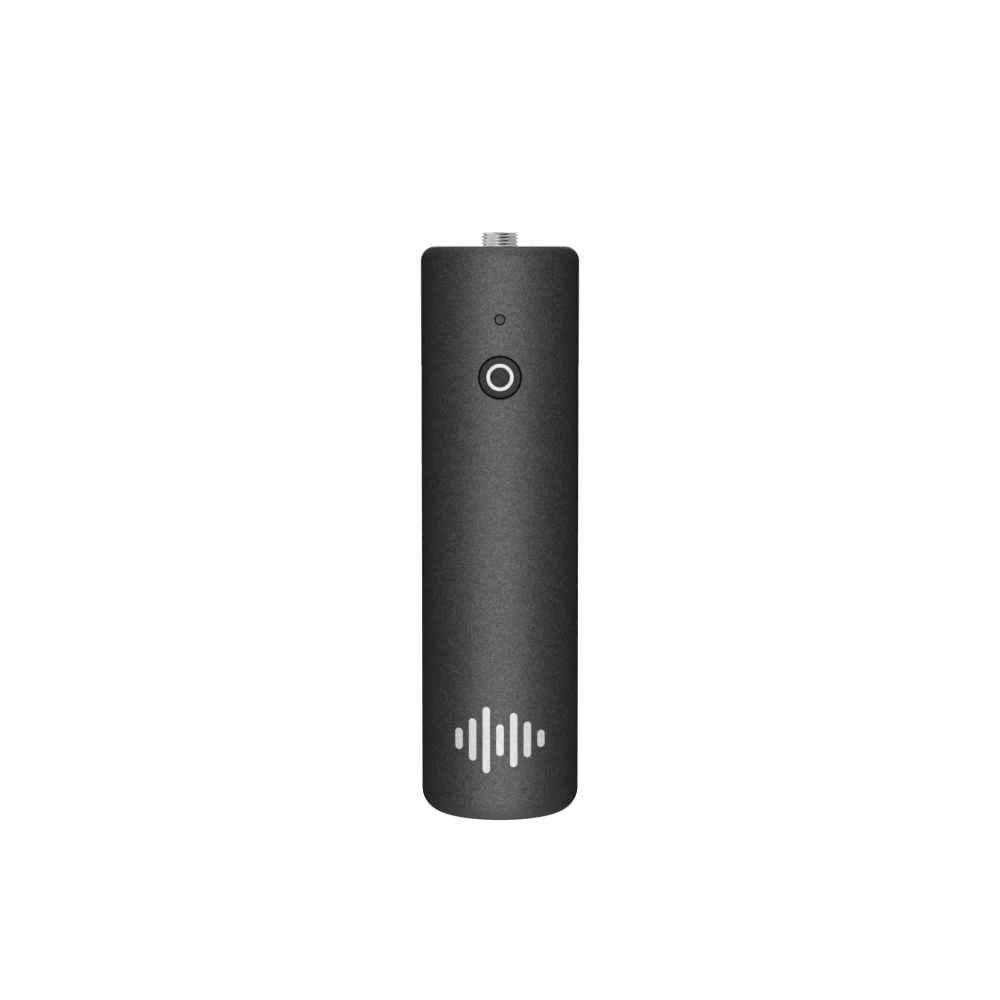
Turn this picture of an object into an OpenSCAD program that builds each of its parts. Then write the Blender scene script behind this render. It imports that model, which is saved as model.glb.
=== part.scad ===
// Round wireless bodypack transmitter with a threaded 3.5 mm microphone jack.
// +Z runs up the housing, the origin is the centre of its base, and the controls face -Y.
// All sizes are in millimetres.

/* [Housing] */
// Outer diameter of the housing
housing_d = 24; // [23.6:0.1:24.4]
// Height from the base to the rim, without the jack
housing_h = 86.4; // [86:0.2:90]
// Wall thickness of the tube
wall = 2.5; // [2.4:0.05:2.6]
// Thickness of the floor
floor_t = 2.2; // [2:0.1:2.4]
// Radius of the rounding at the foot
foot_r = 3.5; // [2.5:0.1:4]
// Radius of the rounding at the rim
rim_r = 2.2; // [1:0.1:2.3]

/* [Controls] */
// Height of the power button's centre
button_z = 67.05; // [64:0.05:67.4]
// Diameter of the power button
button_d = 6.05; // [5:0.05:6.2]
// Gap around the power button
button_gap = 0.22; // [0.15:0.01:0.3]
// How far the button travels
button_travel = 0.3; // [0.2:0.05:0.4]
// Outer diameter of the ring inlaid in the button
ring_d = 4.05; // [3.6:0.05:4.6]
// Width of that ring
ring_w = 0.55; // [0.4:0.05:0.8]
// Height of the status light's centre
led_z = 75.6; // [74.4:0.2:76.6]
// Diameter of the light pipe
light_pipe_d = 1.35; // [1.2:0.05:1.8]
// Gap around the light pipe
light_pipe_gap = 0.15; // [0.1:0.05:0.25]

/* [Jack] */
// How far the threaded collar stands out of the rim
collar_out = 2.1; // [1.8:0.1:4]
// Outer diameter of the collar's thread
thread_d = 5.5; // [5.3:0.1:5.6]
// Pitch of the collar's thread
thread_pitch = 0.5; // [0.4:0.05:0.6]
// Diameter of the socket for the plug
socket_d = 3.6; // [3.55:0.01:3.7]
// Depth of the socket below the collar's face
socket_depth = 15; // [14.5:0.1:15.5]

/* [Battery] */
// Diameter of the cell
cell_d = 14; // [13.6:0.1:14.2]
// Length of the cell
cell_h = 50; // [48:0.5:50.5]

/* [Boards] */
// Thickness of both circuit boards
board_t = 0.8; // [0.6:0.1:0.8]
// Width of the main board
board_w = 14.4; // [13.4:0.1:14.4]

/* [Printed mark] */
// Width of each bar of the mark
bar_w = 1.1; // [0.8:0.1:1.4]
// Spacing of the bars
bar_pitch = 2.05; // [1.9:0.05:2.2]
// Height of the mark's centre
mark_z = 12.8; // [11:0.1:18]

/* [Hidden] */
$fn = 96;

// Shared clearances
slip = 0.05; // between parts that touch or slide
insert_gap = 0.15; // between the sleeve's bore and what slides into it

// Housing
housing_r = housing_d / 2;
bore_r = housing_r - wall;
insert_r = bore_r - insert_gap;
floor_corner_r = 1;
plate_t = 2.3;
plate_recess = 0.2;
plate_top = housing_h - plate_recess;
plate_bottom = plate_top - plate_t;
seal_z = plate_bottom + plate_t / 2 - 0.1;

// Front board stack, from the axis towards the front
board_back = 5.1;
board_front = board_back + board_t;
board_low = 10.2;
board_high = 80.8;

// Jack
collar_top = housing_h + collar_out;
socket_r = socket_d / 2;
socket_end = collar_top - socket_depth;
thread_r = thread_d / 2;
thread_depth = 0.3;
flange_t = 1.2;
flange_top = plate_bottom - slip;
flange_bottom = flange_top - flange_t;
spigot_t = 1.4;
spigot_r = thread_r - thread_depth;
nut_r = 4.15;
nut_t = 1;
nut_top = plate_top;
jack_side = 6.6;
jack_low = 69.2;
jack_high = flange_bottom - slip;
tip_z = 76.2;
ring_z = 79.1;

// Chassis
chassis_low = floor_t + slip;
foot_t = 2;
foot_step_r = 8.3;
shelf_t = 2;
low_shelf_z = 13.2;
foam_t = 0.6;
cell_low = low_shelf_z + shelf_t + foam_t;
cell_r = cell_d / 2;
cell_high = cell_low + cell_h;
cell_y = bore_r - cell_r - 0.3;
high_shelf_z = cell_high + 1;
rail_x = 6;
rail_back = 3.6;
top_disc_t = 1.6;
top_disc_z = flange_bottom - top_disc_t - 0.1;

// Board screws
screw_x = 4.6;
screw_rows = [low_shelf_z + shelf_t / 2, high_shelf_z + shelf_t / 2];
board_screw_r = 0.7;
board_screw_l = 4;

// Base screws
base_screw_y = 5.6;
base_head_r = 1.75;
base_shank_r = 0.95;
base_counterbore = 1.1;
boss_r = 2.2;
boss_top = 9;

// Button and switch stack, as distances in front of the axis
button_r = button_d / 2;
button_face = sqrt(pow(housing_r, 2) - pow(button_r, 2)) - 0.05;
dish_edge = button_r - 0.16;
dish_depth = 0.25;
dish_r = (pow(dish_edge, 2) + pow(dish_depth, 2)) / (2 * dish_depth);
flange_front = 8.5;
flange_back = 7.9;
button_flange_r = 3.9;
pad_back = 7.45;
switch_front = 7;
switch_side = 4.5;
plunger_r = 1.1;
plunger_back = 6.5;

// Charging port
port_w = 8.94;
port_h = 3.16;
port_wall = 0.3;
port_low = 0.4;
port_high = 7.8;
port_slack = 0.2;
port_flare = 0.35;
charge_board_y = port_h / 2 + 0.07;
charge_board_low = 2.9;
charge_board_high = 13;
charge_board_w = 13.6;

// Turns a shape modelled along +Z so that it points to the front, at height z.
module to_front(z) {
    translate([0, 0, z]) rotate([90, 0, 0]) children();
}

// Half section of a round body of radius r from z0 to z1, rounded by low and high.
module round_section(r, z0, z1, low, high) {
    difference() {
        translate([0, z0]) square([r, z1 - z0]);
        if (low > 0)
            translate([r - low, z0 + low]) corner(low, -1);
        if (high > 0)
            translate([r - high, z1 - high]) corner(high, 1);
    }
}

// What a rounding of radius r takes off a square corner above (1) or below (-1) its centre.
module corner(r, side) {
    difference() {
        translate([0, side > 0 ? 0 : -r - 1]) square(r + 1);
        circle(r);
    }
}

// Solid ring or tube between radii r0 and r1.
module tube(r0, r1, h) {
    difference() {
        cylinder(r = r1, h = h);
        translate([0, 0, -1]) cylinder(r = r0, h = h + 2);
    }
}

// Upright slab with round ends, w wide and t thick, centred on the axis.
module stadium(w, t, h) {
    translate([-(w - t) / 2, -t / 2, 0]) cube([w - t, t, h]);
    for (side = [-1, 1])
        translate([side * (w - t) / 2, 0, 0]) cylinder(r = t / 2, h = h);
}

// Lead-in around the charging port's mouth in the base.
module port_flare_cut(w, t) {
    f = port_flare;
    for (side = [-1, 1])
        translate([side * (w - t) / 2, 0, -f]) cylinder(r1 = t / 2 + 2 * f, r2 = t / 2, h = 2 * f);
    rotate([90, 0, 90])
        linear_extrude(w - t, center = true)
            polygon([[-t / 2 - 2 * f, -f], [t / 2 + 2 * f, -f], [t / 2, f], [-t / 2, f]]);
}

// Box given by its lowest and highest corners.
module span(low, high) {
    translate(low) cube(high - low);
}

// Points of a path moved sideways by d, for a strip of even thickness.
function unit(v) = v / norm(v);
function left_of(v) = [-v[1], v[0]];
function beside(path, d) = [
    for (i = [0 : len(path) - 1])
        let (
            before = i > 0 ? unit(path[i] - path[i - 1]) : unit(path[1] - path[0]),
            after = i < len(path) - 1 ? unit(path[i + 1] - path[i]) : before,
            across = unit(left_of(before) + left_of(after))
        )
        path[i] + across * d / (across * left_of(before))
];

// Flat spring or strap: a strip t thick along a 2D path, w wide.
module strip(path, t, w) {
    back = beside(path, -t / 2);
    linear_extrude(w, center = true)
        polygon(concat(
            beside(path, t / 2), [for (i = [len(back) - 1 : -1 : 0]) back[i]]
        ));
}

// Machine screw along +Z with its head below z = 0 and a cross recess in the head.
module screw(head_r, head_t, shank_r, shank_l) {
    difference() {
        union() {
            translate([0, 0, -head_t]) cylinder(r = head_r, h = head_t);
            cylinder(r = shank_r, h = shank_l - shank_r);
            translate([0, 0, shank_l - shank_r])
                cylinder(r1 = shank_r, r2 = shank_r * 0.4, h = shank_r);
        }
        for (turn = [0, 90])
            rotate(turn)
                translate([-head_r * 0.62, -head_r * 0.14, -head_t - 1])
                    cube([head_r * 1.24, head_r * 0.28, 1 + head_t * 0.6]);
    }
}

// One-piece tube with a closed, rounded foot and an open top.
module housing_sleeve() color([0.16, 0.16, 0.17]) difference() {
    rotate_extrude() round_section(housing_r, 0, housing_h, foot_r, rim_r);
    rotate_extrude() round_section(bore_r, floor_t, housing_h + 1, floor_corner_r, 0);
    to_front(button_z)
        translate([0, 0, bore_r - 4])
            cylinder(r = button_r + button_gap, h = wall + 5);
    to_front(led_z) {
        translate([0, 0, bore_r - 2]) cylinder(r = light_pipe_d / 2 + 0.02, h = wall + 3);
        translate([0, 0, housing_r - 1])
            cylinder(r = light_pipe_d / 2 + light_pipe_gap, h = 2);
    }
    translate([0, 0, -1]) stadium(port_w + 2 * port_slack, port_h + 2 * port_slack, floor_t + 2);
    port_flare_cut(port_w + 2 * port_slack, port_h + 2 * port_slack);
    for (side = [-1, 1])
        translate([0, side * base_screw_y, -1]) {
            cylinder(r = base_shank_r + 0.15, h = floor_t + 2);
            cylinder(r = base_head_r + 0.15, h = 1 + base_counterbore);
        }
}

// Disc that closes the top, grooved for its seal and sunk for the ring nut.
module top_plate() color([0.1, 0.1, 0.11]) difference() {
    translate([0, 0, plate_bottom]) cylinder(r = insert_r + 0.1, h = plate_t);
    translate([0, 0, seal_z - 0.5]) tube(bore_r - 0.87, bore_r + 1, 1);
    translate([0, 0, nut_top - nut_t - slip]) cylinder(r = nut_r + 0.1, h = 2);
    translate([0, 0, plate_bottom - 1]) cylinder(r = thread_r + 0.08, h = plate_t + 2);
}

// Rubber ring between the top plate and the sleeve.
module top_seal_ring() color([0.05, 0.05, 0.05])
    translate([0, 0, seal_z])
        rotate_extrude()
            intersection() {
                translate([bore_r - 0.43, 0]) circle(0.42);
                translate([bore_r - 1, -0.4]) square([2, 0.8]);
            }

// Threaded metal barrel of the jack, with a hexagonal shoulder under the top plate.
module jack_bushing() color([0.78, 0.78, 0.76]) difference() {
    union() {
        translate([0, 0, flange_bottom - spigot_t]) cylinder(r = spigot_r, h = spigot_t);
        translate([0, 0, flange_bottom]) cylinder(r = 4.3, h = flange_t, $fn = 6);
        rotate_extrude() thread_section(flange_top, collar_top);
    }
    translate([0, 0, flange_bottom - spigot_t - 1]) cylinder(r = socket_r, h = 20);
    translate([0, 0, collar_top - 0.25])
        cylinder(r1 = socket_r, r2 = socket_r + 0.5, h = 0.5);
}

// Half section of the collar: a core with evenly pitched ridges and a tapered lead.
module thread_section(z0, z1) {
    turns = floor((z1 - z0 - 0.2) / thread_pitch);
    start = z1 - 0.2 - turns * thread_pitch;
    crest = thread_pitch / 8;
    translate([0, z0 - 0.1]) square([spigot_r, z1 - z0 + 0.1]);
    for (i = [0 : turns - 1])
        translate([0, start + i * thread_pitch])
            polygon([
                [0, 0], [spigot_r, 0],
                [thread_r, thread_pitch / 2 - crest / 2],
                [thread_r, thread_pitch / 2 + crest / 2],
                [spigot_r, thread_pitch], [0, thread_pitch],
            ]);
}

// Round nut that clamps the bushing to the top plate, slotted for a pin spanner.
module jack_ring_nut() color([0.7, 0.7, 0.68]) difference() {
    translate([0, 0, nut_top - nut_t]) tube(thread_r + 0.02, nut_r, nut_t);
    for (turn = [0, 90])
        rotate(turn)
            translate([-nut_r - 1, -0.5, nut_top - 0.45]) cube([2 * nut_r + 2, 1, 1]);
}

// Moulded block behind the bushing that guides the plug and holds the contacts.
module jack_body() color([0.08, 0.08, 0.08]) difference() {
    translate([-jack_side / 2, -jack_side / 2, jack_low])
        cube([jack_side, jack_side, jack_high - jack_low]);
    translate([0, 0, socket_end]) cylinder(r = socket_r, h = 20);
    translate([0, 0, flange_bottom - spigot_t - slip]) cylinder(r = spigot_r + slip, h = 5);
    for (contact = [[-1, tip_z], [1, ring_z]])
        translate([contact[0] * (socket_r + 1.8), 0, contact[1] - 0.3])
            cube([4, 1.6, 3.2], center = true);
    for (x = [-1, 1], y = [-1, 1])
        translate([x * jack_side / 2, y * jack_side / 2, jack_low - 1])
            rotate(45) cube([0.7, 0.7, 40], center = true);
}

// Leaf spring that reaches through a window of the jack to a plug's contact at height z.
module jack_leaf(z) {
    out = jack_side / 2 + 0.15;
    rotate([90, 0, 0])
        strip([
            [out, 70.4], [out, z - 1.6], [socket_r + 0.14, z],
            [socket_r + 0.6, z + 0.9],
        ], 0.2, 1.2);
    span([out - 0.1, -board_back, 70.4], [out + 0.1, 0.6, 71.8]);
}

// Tip, ring and sleeve contacts with their legs to the main board.
module jack_contacts() color([0.85, 0.68, 0.3]) {
    mirror([1, 0, 0]) jack_leaf(tip_z);
    jack_leaf(ring_z);
    span([-0.8, -jack_side / 2 - 0.25, 72], [0.8, -jack_side / 2 - 0.05, jack_high]);
    span([-0.8, -board_back, 72], [0.8, -jack_side / 2 - 0.25, 72.2]);
}

// Frame that carries the cell, the jack and both boards inside the sleeve.
module chassis() color([0.2, 0.21, 0.22]) difference() {
    intersection() {
        union() {
            translate([0, 0, chassis_low]) cylinder(r = foot_step_r, h = 90);
            translate([0, 0, chassis_low + 1.1]) cylinder(r = insert_r, h = 90);
        }
        union() {
            span([-10, -10, chassis_low], [10, 10, chassis_low + foot_t]);
            for (side = [-1, 1])
                translate([0, side * base_screw_y, chassis_low])
                    cylinder(r = boss_r, h = boss_top - chassis_low);
            for (x = [-10, rail_x])
                span([x, -board_back, chassis_low], [x + 10 - rail_x, rail_back, top_disc_z + 0.1]);
            for (z = [low_shelf_z, high_shelf_z])
                span([-10, -board_back, z], [10, 10, z + shelf_t]);
            span([-10, -10, top_disc_z], [10, 10, top_disc_z + top_disc_t]);
        }
    }
    translate([0, cell_y, low_shelf_z + shelf_t])
        cylinder(r = cell_r + 0.2, h = high_shelf_z - low_shelf_z - shelf_t);
    span([-3.9, -3.9, 69], [3.9, 3.9, 90]);
    translate([0, 0, chassis_low - 1]) stadium(11.6, 5.9, foot_t + 2);
    span([-7, charge_board_y - slip, chassis_low - 1],
         [7, charge_board_y + board_t + slip, low_shelf_z]);
    for (side = [-1, 1])
        translate([0, side * base_screw_y, chassis_low - 1])
            cylinder(r = base_shank_r + slip, h = 20 - chassis_low);
    for (side = [-1, 1], z = screw_rows)
        to_front(z) translate([side * screw_x, 0, board_back - board_screw_l])
            cylinder(r = board_screw_r + slip, h = 5);
    for (side = [-1, 1])
        span([side * 4.6 - 0.8, 0.7, high_shelf_z - 1],
             [side * 4.6 + 0.8, 2.3, high_shelf_z + 5]);
    span([-2, -board_back - 1, low_shelf_z - 1], [2, cell_y - cell_r + 0.1, high_shelf_z + 1]);
}

// Rechargeable round cell with its raised positive end.
module battery_cell() color([0.12, 0.3, 0.55])
    translate([0, cell_y, cell_low]) {
        rotate_extrude() round_section(cell_r, 0, cell_h - 0.8, 0.4, 0.4);
        cylinder(r = 3, h = cell_h - 0.05);
    }

// Foam disc under the cell that keeps it from rattling.
module battery_foam() color([0.15, 0.15, 0.15])
    translate([0, cell_y, low_shelf_z + shelf_t]) cylinder(r = cell_r - 0.4, h = foam_t - 0.2);

// Round circuit board on the cell's top, with its two transistor packages.
module battery_protection_board() color([0.06, 0.3, 0.16])
    translate([0, cell_y, cell_high]) {
        cylinder(r = cell_r - 0.5, h = 0.6);
        for (x = [-2.2, 2.2]) translate([x - 0.9, 3, 0.55]) cube([1.8, 1.4, 0.4]);
    }

// Nickel strap from the cell's bottom, up its front, to the protection board.
module battery_strap() color([0.75, 0.74, 0.7])
    rotate([90, 0, 90])
        strip([
            [cell_y, cell_low - 0.1], [cell_y - cell_r - 0.12, cell_low - 0.1],
            [cell_y - cell_r - 0.12, cell_high + 0.69],
            [cell_y - cell_r + 2, cell_high + 0.69],
        ], 0.15, 3);

// Insulated wire from the protection board, through the shelf, to the main board.
module battery_lead(side) {
    wire_r = 0.5;
    bend = 1.5;
    start_z = cell_high + 0.6;
    turn_z = high_shelf_z + shelf_t + 0.6;
    translate([side * 4.6, bend, start_z]) cylinder(r = wire_r, h = turn_z - start_z);
    translate([side * 4.6, 0, turn_z])
        rotate([90, 0, 90]) rotate_extrude(angle = 90) translate([bend, 0]) circle(wire_r);
    translate([side * 4.6, 0, turn_z + bend])
        rotate([90, 0, 0]) cylinder(r = wire_r, h = board_back);
}

module battery_lead_positive() color([0.7, 0.08, 0.06]) battery_lead(1);

module battery_lead_negative() color([0.05, 0.05, 0.05]) battery_lead(-1);

// Main circuit board, screwed to the two shelves.
module main_board() color([0.05, 0.28, 0.14]) difference() {
    span([-board_w / 2, -board_front, board_low], [board_w / 2, -board_back, board_high]);
    for (side = [-1, 1], z = screw_rows)
        to_front(z) translate([side * screw_x, 0, 0]) cylinder(r = board_screw_r + 0.1, h = 10);
    for (side = [-1, 1])
        translate([side * board_w / 2, -board_front, (board_low + board_high) / 2])
            cube([1.2, 4, 3], center = true);
}

// Four screws that hold the main board to the shelves.
module board_screws() color([0.7, 0.7, 0.7])
    for (side = [-1, 1], z = screw_rows)
        translate([side * screw_x, -board_front, z])
            rotate([-90, 0, 0]) screw(1.15, 0.8, board_screw_r, 4.2);

// Sheet-metal can over the radio circuits.
module radio_shield() color([0.72, 0.72, 0.72]) difference() {
    span([-5.2, -board_front - 1.6, 44], [5.2, -board_front, 58]);
    span([-5, -board_front - 1.4, 44.2], [5, -board_front + 1, 57.8]);
    for (x = [-3.6 : 1.8 : 3.6], z = [46.6 : 2.2 : 55.4])
        to_front(z) translate([x, 0, board_front]) cylinder(r = 0.4, h = 3);
}

// Chip of a given size on the front of the main board.
module chip(x, z, w, h, t) {
    span([x - w / 2, -board_front - t, z - h / 2], [x + w / 2, -board_front, z + h / 2]);
}

// Processor, codec, memory, power chips and crystal.
module chips() color([0.07, 0.07, 0.08]) {
    chip(0, 51, 6, 6, 0.9);
    chip(-1.6, 37, 5, 5, 0.9);
    chip(-1, 29, 4, 4, 0.85);
    chip(3.2, 30.4, 2.4, 3.2, 0.8);
    chip(0.6, 22, 3, 3, 1.2);
    chip(-3.6, 21.4, 2.2, 1.6, 0.7);
    chip(3.4, 40.4, 2.5, 2, 0.7);
}

// Small capacitors, resistors and coils.
module passives() color([0.62, 0.5, 0.36]) {
    for (i = [0 : 7]) chip(-5 + i * 1.35, 33.4, 0.6, 1, 0.5);
    for (i = [0 : 6]) chip(-4.6 + i * 1.4, 25.6, 0.8, 1.2, 0.6);
    for (i = [0 : 4]) chip(3, 35 + i * 0.9, 1, 0.5, 0.5);
    for (i = [0 : 5]) chip(-5, 60.6 + i * 0.9, 1, 0.5, 0.5);
    for (i = [0 : 3], side = [-1, 1]) chip(side * (2 + i * 0.9), 17.6, 0.5, 1, 0.5);
}

// Ceramic antenna at the lower end of the main board.
module antenna() color([0.85, 0.84, 0.8]) chip(0, 11.6, 9, 2, 1.1);

// Light-emitting diode on the main board.
module status_led() color([0.9, 0.88, 0.8]) {
    chip(0, led_z, 1.6, 0.8, 0.35);
    to_front(led_z) translate([0, 0, board_front + 0.35]) cylinder(r = 0.4, h = 0.3);
}

// Clear plastic rod that carries the light through the wall.
module light_pipe() color([0.35, 0.35, 0.36]) {
    face = housing_r - 0.12;
    foot = board_front + 0.75;
    to_front(led_z) {
        translate([0, 0, foot]) cylinder(r = light_pipe_d / 2, h = face - foot);
        translate([0, 0, foot + 1.2]) cylinder(r = light_pipe_d / 2 + 0.6, h = 0.6);
    }
}

// Push switch on the main board, with its four solder legs.
module tact_switch() color([0.1, 0.1, 0.1]) difference() {
    union() {
        chip(0, button_z, switch_side, switch_side, switch_front - board_front);
        for (x = [-1, 1], z = [-1, 1])
            chip(x * 2.5, button_z + z * 1.5, 0.8, 0.7, 0.2);
    }
    to_front(button_z)
        translate([0, 0, plunger_back - button_travel - 0.05])
            cylinder(r = plunger_r + slip, h = 5);
}

// Plunger of the push switch.
module switch_plunger() color([0.75, 0.72, 0.66])
    to_front(button_z)
        translate([0, 0, plunger_back]) cylinder(r = plunger_r, h = pad_back - plunger_back);

// What the button's face loses to its shallow round dish.
module button_dish() {
    to_front(button_z)
        translate([0, 0, button_face - dish_depth])
            rotate_extrude()
                intersection() {
                    translate([0, dish_r]) circle(dish_r, $fn = 720);
                    square([button_r + 1, dish_depth + 0.3]);
                }
}

// Tube that the inlaid ring fills, from 0.8 below the face's edge.
module ring_zone() {
    to_front(button_z)
        translate([0, 0, button_face - 0.8]) tube(ring_d / 2 - ring_w, ring_d / 2, 1.5);
}

// Power button with a dished face and a retaining flange behind the wall.
module button_cap() color([0.09, 0.09, 0.1]) difference() {
    to_front(button_z) {
        translate([0, 0, flange_back]) cylinder(r = button_r, h = button_face - flange_back);
        translate([0, 0, flange_back])
            cylinder(r = button_flange_r, h = flange_front - flange_back);
    }
    ring_zone();
    button_dish();
}

// Light ring inlaid in the button's face.
module button_ring() color([0.93, 0.93, 0.92]) difference() {
    to_front(button_z)
        translate([0, 0, button_face - 0.8]) tube(ring_d / 2 - ring_w, ring_d / 2, 0.8);
    button_dish();
}

// Silicone pad between the button and its switch.
module button_pad() color([0.3, 0.3, 0.32])
    to_front(button_z)
        translate([0, 0, pad_back]) cylinder(r = 3.2, h = flange_back - pad_back);

// Small upright board behind the charging port.
module charge_board() color([0.05, 0.28, 0.14])
    span([-charge_board_w / 2, charge_board_y, charge_board_low],
         [charge_board_w / 2, charge_board_y + board_t, charge_board_high]);

// Charger chip and its coil, on the charge board above the port.
module charge_chips() color([0.08, 0.08, 0.09]) {
    for (part = [[-4.3, 9.7, 3, 3, 0.8], [4.3, 9.5, 2.6, 2.6, 1.2], [4.3, 11.8, 1.6, 0.8, 0.6]])
        span([part[0] - part[2] / 2, charge_board_y - part[4], part[1] - part[3] / 2],
             [part[0] + part[2] / 2, charge_board_y, part[1] + part[3] / 2]);
}

// Flexible circuit from the charge board forward to the main board.
module charge_flex() color([0.75, 0.45, 0.12])
    rotate([90, 0, 90])
        strip([
            [charge_board_y - 0.08, 10.4], [charge_board_y - 0.08, 11.9],
            [charge_board_y - 0.6, 12.5], [-board_back + 0.6, 12.5],
            [-board_back + 0.08, 11.9], [-board_back + 0.08, 10.6],
        ], 0.15, 4);

// Folded steel shell of the charging port.
module usb_shell() color([0.75, 0.76, 0.78]) difference() {
    translate([0, 0, port_low]) stadium(port_w, port_h, port_high - port_low);
    translate([0, 0, port_low - 1])
        stadium(port_w - 2 * port_wall, port_h - 2 * port_wall, port_high - port_low + 2);
}

// Insulator of the port: a block that closes its inner end and the tongue in its middle.
module usb_tongue() color([0.07, 0.07, 0.07]) difference() {
    union() {
        translate([0, 0, 6])
            stadium(port_w - 2 * port_wall, port_h - 2 * port_wall, port_high - 6);
        span([-3.35, -0.35, 1], [3.35, 0.35, 6.1]);
    }
    for (i = [0 : 11], face = [-1, 1])
        translate([-2.75 + i * 0.5, face * 0.35, 3.6]) cube([0.26, 0.12, 4.4], center = true);
}

// Twelve gold contacts on each face of the tongue.
module usb_contacts() color([0.85, 0.66, 0.25])
    for (i = [0 : 11], face = [-1, 1])
        translate([-2.75 + i * 0.5, face * 0.35, 3.6]) cube([0.24, 0.1, 4.36], center = true);

// Rubber ring that seals the port against the floor.
module usb_gasket() color([0.05, 0.05, 0.05])
    translate([0, 0, floor_t]) difference() {
        stadium(port_w + 2, port_h + 2, 0.7);
        translate([0, 0, -1]) stadium(port_w + 0.04, port_h + 0.04, 3);
    }

// Two screws through the floor into the chassis.
module base_screws() color([0.18, 0.18, 0.19])
    for (side = [-1, 1])
        translate([0, side * base_screw_y, base_counterbore])
            screw(base_head_r, 0.85, base_shank_r, 7);

// Thin skin on the outside of the housing that prints and labels are cut from.
module skin(t, z0, z1) {
    translate([0, 0, z0]) tube(housing_r, housing_r + t, z1 - z0);
}

// Printed mark: a row of round-ended level bars.
module front_mark() color([0.86, 0.86, 0.87]) {
    heights = [3.2, 6.4, 10, 4.8, 8.2, 5.4, 2.6];
    middle = (len(heights) - 1) / 2;
    for (i = [0 : len(heights) - 1])
        intersection() {
            skin(0.04, mark_z - 6, mark_z + 6);
            to_front(mark_z)
                translate([(i - middle) * bar_pitch, 0, 0])
                    rotate(90) stadium(heights[i], bar_w, housing_r + 1);
        }
}

// Blank rating label on the back.
module rear_label() color([0.1, 0.1, 0.105]) intersection() {
    skin(0.04, 20, 50);
    translate([0, 0, 34]) rotate([-90, 0, 0]) union() {
        corner = 1.2;
        w = 13;
        h = 26;
        translate([-w / 2, -h / 2 + corner, 0]) cube([w, h - 2 * corner, housing_r + 1]);
        translate([-w / 2 + corner, -h / 2, 0]) cube([w - 2 * corner, h, housing_r + 1]);
        for (x = [-1, 1], y = [-1, 1])
            translate([x * (w / 2 - corner), y * (h / 2 - corner), 0])
                cylinder(r = corner, h = housing_r + 1);
    }
}

housing_sleeve();
top_plate();
top_seal_ring();
jack_bushing();
jack_ring_nut();
jack_body();
jack_contacts();
chassis();
battery_cell();
battery_foam();
battery_protection_board();
battery_strap();
battery_lead_positive();
battery_lead_negative();
main_board();
board_screws();
radio_shield();
chips();
passives();
antenna();
status_led();
light_pipe();
tact_switch();
switch_plunger();
button_cap();
button_ring();
button_pad();
charge_board();
charge_chips();
charge_flex();
usb_shell();
usb_tongue();
usb_contacts();
usb_gasket();
base_screws();
front_mark();
rear_label();
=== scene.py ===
import math

import bmesh
import bpy
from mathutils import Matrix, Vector


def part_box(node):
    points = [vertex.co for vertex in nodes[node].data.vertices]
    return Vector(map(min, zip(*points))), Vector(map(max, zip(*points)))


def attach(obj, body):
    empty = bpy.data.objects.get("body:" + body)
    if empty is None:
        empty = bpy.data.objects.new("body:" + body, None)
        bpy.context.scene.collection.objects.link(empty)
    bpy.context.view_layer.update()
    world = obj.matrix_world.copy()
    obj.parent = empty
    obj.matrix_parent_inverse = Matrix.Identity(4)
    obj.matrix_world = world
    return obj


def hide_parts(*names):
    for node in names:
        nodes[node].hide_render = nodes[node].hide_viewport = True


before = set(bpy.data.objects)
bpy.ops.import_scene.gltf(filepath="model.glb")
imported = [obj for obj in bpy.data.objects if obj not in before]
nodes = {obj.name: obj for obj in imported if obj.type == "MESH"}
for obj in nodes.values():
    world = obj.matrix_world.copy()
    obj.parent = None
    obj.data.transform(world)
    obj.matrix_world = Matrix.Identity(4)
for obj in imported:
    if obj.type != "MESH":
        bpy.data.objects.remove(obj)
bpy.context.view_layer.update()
scene = bpy.context.scene
MM = 0.001


def mm_box(node):
    """A CAD node's lowest and highest corners, in millimetres."""
    lo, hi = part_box(node)
    return [c / MM for c in lo], [c / MM for c in hi]


# ---------------------------------------------------------------- shapes

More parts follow.
